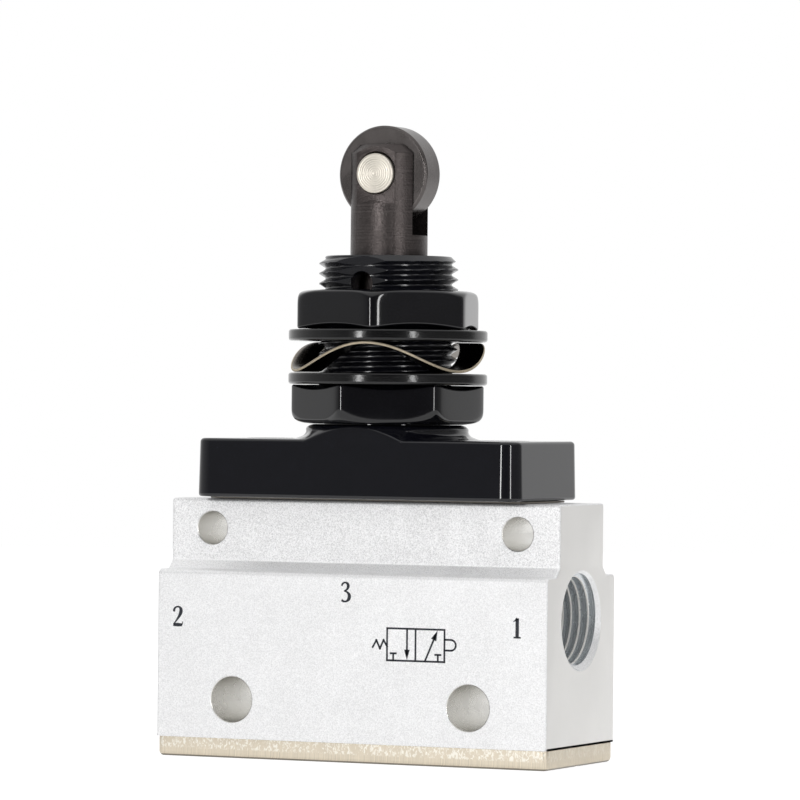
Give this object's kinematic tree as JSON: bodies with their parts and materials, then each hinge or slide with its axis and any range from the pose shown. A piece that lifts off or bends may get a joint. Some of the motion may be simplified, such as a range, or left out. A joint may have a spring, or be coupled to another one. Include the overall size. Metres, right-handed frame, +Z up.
{
  "type": "roller plunger valve",
  "caption": "Panel-mount three-way pneumatic valve: black cap and threaded collar on an aluminium block, worked by a spring-returned roller plunger.",
  "frame": {"origin": "middle of the bottom plate's underside", "axes": "+Z up along the plunger and collar; +X out of the supply port; the roller's pin lies along Y"},
  "size_m": [0.0426, 0.0198, 0.0631],
  "materials": {
    "aluminium": "fine blasted and anodised, with a slight sparkle",
    "plated_steel": "warm nickel plating",
    "black_casting": "gloss black",
    "black_steel": "satin black",
    "spring_steel": "oiled spring steel with bright edges",
    "oxide_steel": "bronze-brown black oxide, fine turned",
    "bright_steel": "turned, bright",
    "brass": "turned",
    "rubber": "matt",
    "gasket": "matt sheet"
  },
  "bodies": {
    "valve_body": {"body_block": "aluminium", "bottom_plate": "plated_steel", "bottom_gasket": "gasket", "bottom_screw_1": "plated_steel", "bottom_screw_2": "plated_steel", "cap_screw_1": "plated_steel", "cap_screw_2": "plated_steel", "cap_collar": "black_casting", "cap_gasket": "gasket", "guide_bush": "brass", "wiper_ring": "rubber", "lower_panel_nut": "black_casting", "lower_washer": "black_steel", "wave_washer": "spring_steel", "gland_ring": "brass", "stem_seal": "rubber", "gland_seal": "rubber", "return_spring": "spring_steel", "poppet_spring": "spring_steel"},
    "plunger": {"plunger": "oxide_steel", "roller_pin": "bright_steel", "buffer_spring": "spring_steel"},
    "roller": {"roller": "oxide_steel"},
    "push_tube": {"push_tube": "brass"},
    "poppet": {"poppet": "brass", "poppet_seal": "rubber"},
    "upper_washer": {"upper_washer": "black_steel"},
    "upper_nut": {"upper_panel_nut": "black_casting"}
  },
  "joints": [
    {"name": "plunger_press", "type": "slide", "parent": "valve_body", "child": "plunger", "axis": [0, 0, -1], "range_m": [0, 0.003], "stiffness_N_per_m": 3000, "deforming": ["buffer_spring"]},
    {"name": "roller_spin", "type": "hinge", "parent": "plunger", "child": "roller", "pos_m": [0, 0, 0.0582], "axis": [0, 1, 0], "continuous": true},
    {"name": "push_tube_slide", "type": "slide", "parent": "valve_body", "child": "push_tube", "axis": [0, 0, -1], "range_m": [0, 0.002], "deforming": ["return_spring"]},
    {"name": "poppet_slide", "type": "slide", "parent": "valve_body", "child": "poppet", "axis": [0, 0, -1], "range_m": [0, 0.0015], "deforming": ["poppet_spring"]},
    {"name": "upper_washer_lift", "type": "slide", "parent": "valve_body", "child": "upper_washer", "axis": [0, 0, 1], "range_m": [0, 0.002]},
    {"name": "upper_nut_turn", "type": "hinge", "parent": "upper_washer", "child": "upper_nut", "pos_m": [0, 0, 0.0446], "axis": [0, 0, 1], "range_deg": [0, 720]}
  ],
  "couplings": [
    {"joint": "push_tube_slide", "follows": "plunger_press", "ratio": 0.6666},
    {"joint": "poppet_slide", "follows": "plunger_press", "ratio": 0.5},
    {"joint": "upper_nut_turn", "follows": "upper_washer_lift", "rad_per_m": 6283.2}
  ]
}
